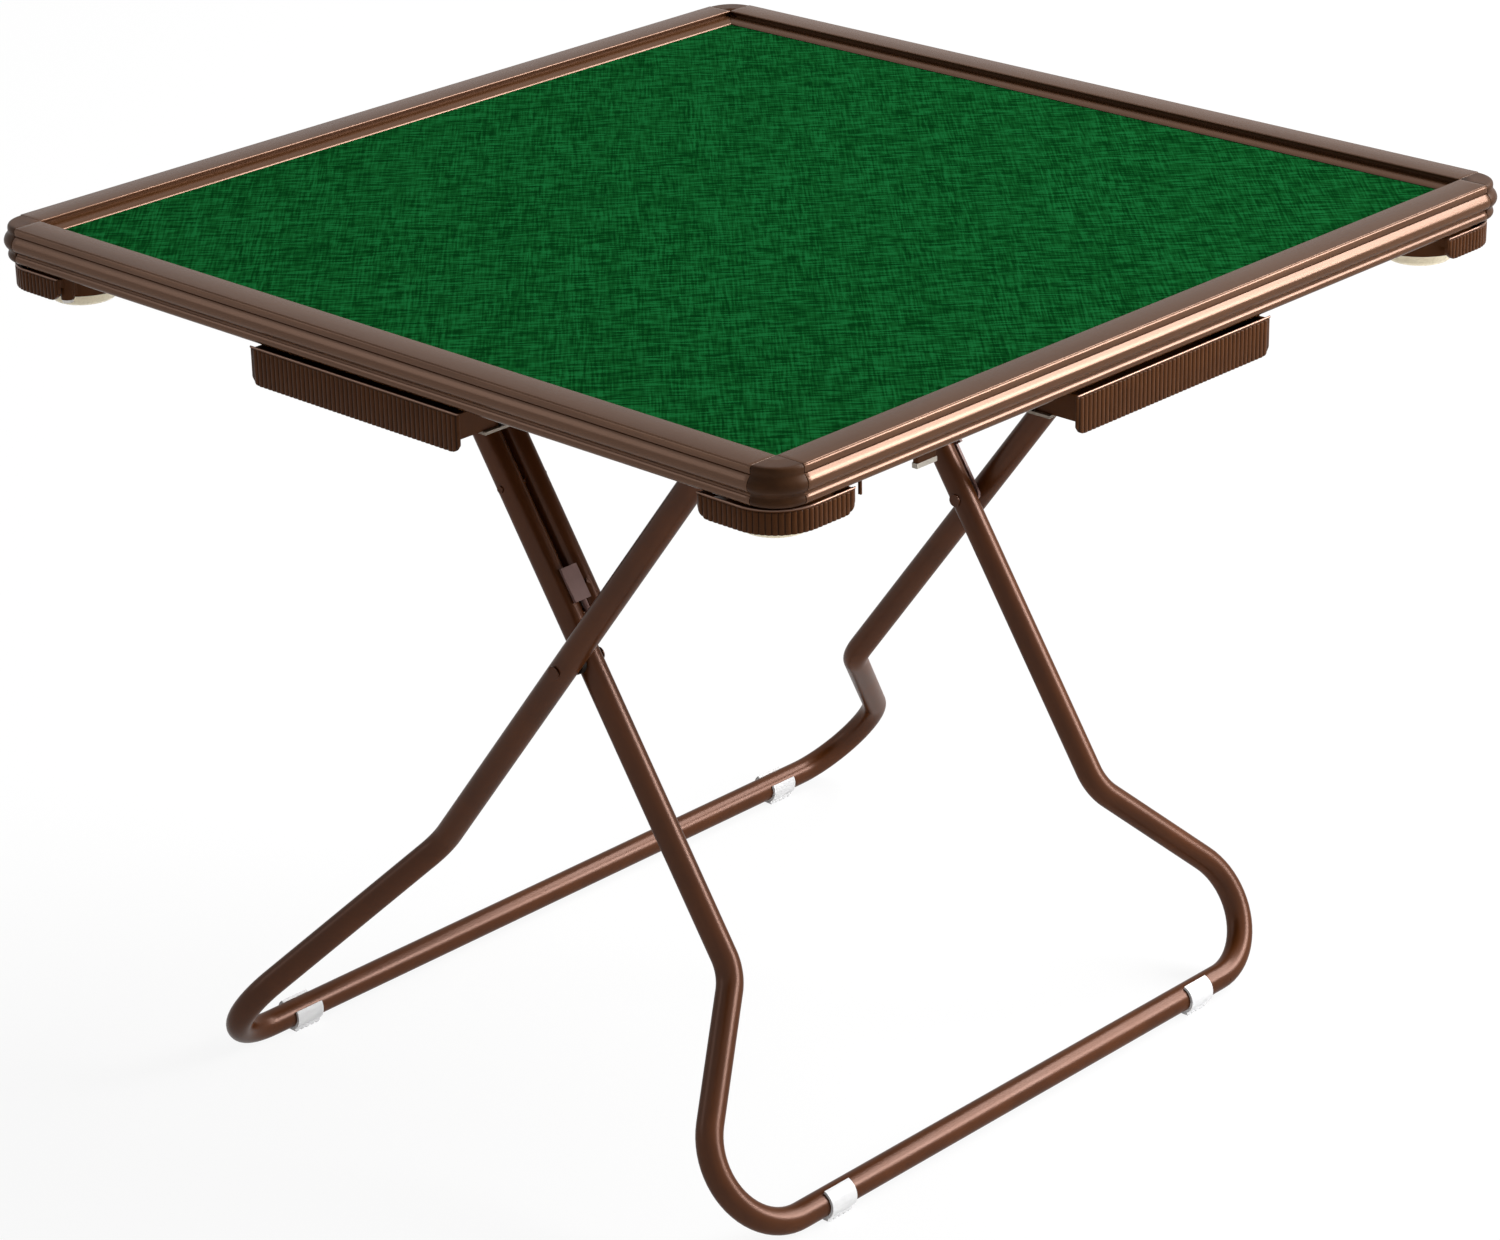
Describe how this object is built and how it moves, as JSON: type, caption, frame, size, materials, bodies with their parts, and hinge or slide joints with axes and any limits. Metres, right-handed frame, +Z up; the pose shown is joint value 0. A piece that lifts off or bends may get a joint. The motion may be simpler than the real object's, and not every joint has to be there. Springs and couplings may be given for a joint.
{
  "type": "folding game table",
  "caption": "Square folding game table: green cloth top in bronze edge rails, reeded drawers, swing-out corner trays with round dishes, crossed tube legs that fold flat.",
  "frame": {"origin": "on the floor under the middle of the top", "axes": "+Z up; +X and +Y along the edges of the top, the floor bars run along Y"},
  "size_m": [0.86, 0.86, 0.717],
  "materials": {
    "rail": "satin bronze anodised",
    "cap": "satin brown",
    "cloth": "fine woven green",
    "board": "dark painted underside",
    "leg": "glossy red-brown",
    "drawer": "satin red-brown",
    "dish": "cream",
    "foot": "white",
    "steel": "zinc plated",
    "dark": "dark",
    "pale": "pale low-friction strip",
    "rubber": "pale soft rubber",
    "lock": "mauve-brown"
  },
  "bodies": {
    "table_top": {"top_board": "board", "playing_cloth": "cloth", "rail_front": "rail", "drawer_runners_front": "dark", "rail_right": "rail", "drawer_runners_right": "dark", "rail_back": "rail", "drawer_runners_back": "dark", "rail_left": "rail", "drawer_runners_left": "dark", "corner_cap_front_right": "cap", "corner_cap_back_right": "cap", "corner_cap_back_left": "cap", "corner_cap_front_left": "cap", "drawer_glides": "pale", "tray_pivot_screws": "steel", "tray_stop_tabs": "drawer", "pivot_bracket_front": "steel", "pivot_bracket_back": "steel", "pivot_bolts": "steel", "guide_rail_front": "steel", "guide_rail_back": "steel", "leg_rest_front": "drawer", "leg_rest_back": "drawer", "leg_rest_pads": "rubber", "fitting_screws": "steel"},
    "drawer_front": {"drawer_face_front": "drawer", "drawer_box_front": "drawer"},
    "drawer_right": {"drawer_face_right": "drawer", "drawer_box_right": "drawer"},
    "drawer_back": {"drawer_face_back": "drawer", "drawer_box_back": "drawer"},
    "drawer_left": {"drawer_face_left": "drawer", "drawer_box_left": "drawer"},
    "tray_front_right": {"tray_holder_front_right": "drawer", "dish_front_right": "dish"},
    "tray_back_right": {"tray_holder_back_right": "drawer", "dish_back_right": "dish"},
    "tray_back_left": {"tray_holder_back_left": "drawer", "dish_back_left": "dish"},
    "tray_front_left": {"tray_holder_front_left": "drawer", "dish_front_left": "dish"},
    "outer_legs": {"outer_frame_tube": "leg", "cross_bolts": "leg", "outer_frame_feet": "foot", "outer_frame_plugs": "dark"},
    "inner_legs": {"inner_frame_tube": "leg", "strut_tube": "leg", "guide_pins": "steel", "strut_rivets": "leg", "cross_spacer": "dark", "stop_plate": "lock", "inner_frame_feet": "foot", "inner_frame_plugs": "dark"},
    "leg_lock": {"lock_plate": "lock", "lock_rod": "lock"}
  },
  "joints": [
    {"name": "front_drawer_slide", "type": "slide", "parent": "table_top", "child": "drawer_front", "axis": [0, -1, 0], "range_m": [0, 0.13]},
    {"name": "right_drawer_slide", "type": "slide", "parent": "table_top", "child": "drawer_right", "axis": [1, 0, 0], "range_m": [0, 0.13]},
    {"name": "back_drawer_slide", "type": "slide", "parent": "table_top", "child": "drawer_back", "axis": [0, 1, 0], "range_m": [0, 0.13]},
    {"name": "left_drawer_slide", "type": "slide", "parent": "table_top", "child": "drawer_left", "axis": [-1, 0, 0], "range_m": [0, 0.13]},
    {"name": "front_right_tray_swing", "type": "hinge", "parent": "table_top", "child": "tray_front_right", "pos_m": [0.415, -0.352, 0.677], "axis": [0, 0, 1], "range_deg": [0, 103]},
    {"name": "back_right_tray_swing", "type": "hinge", "parent": "table_top", "child": "tray_back_right", "pos_m": [0.352, 0.415, 0.677], "axis": [0, 0, 1], "range_deg": [0, 103]},
    {"name": "back_left_tray_swing", "type": "hinge", "parent": "table_top", "child": "tray_back_left", "pos_m": [-0.415, 0.352, 0.677], "axis": [0, 0, 1], "range_deg": [0, 103]},
    {"name": "front_left_tray_swing", "type": "hinge", "parent": "table_top", "child": "tray_front_left", "pos_m": [-0.352, -0.415, 0.677], "axis": [0, 0, 1], "range_deg": [0, 103]},
    {"name": "legs_fold", "type": "hinge", "parent": "table_top", "child": "outer_legs", "pos_m": [0.22353, 0, 0.657], "axis": [0, 1, 0], "range_deg": [0, 50.5]},
    {"name": "frames_cross", "type": "hinge", "parent": "outer_legs", "child": "inner_legs", "pos_m": [0.0302, 0, 0.4024], "axis": [0, 1, 0], "range_deg": [-105.2, 0]},
    {"name": "lock_slide", "type": "slide", "parent": "inner_legs", "child": "leg_lock", "axis": [-0.5464, 0, 0.8375], "range_m": [0, 0.012]}
  ],
  "couplings": [
    {"joint": "frames_cross", "follows": "legs_fold", "ratio": -2.078}
  ]
}
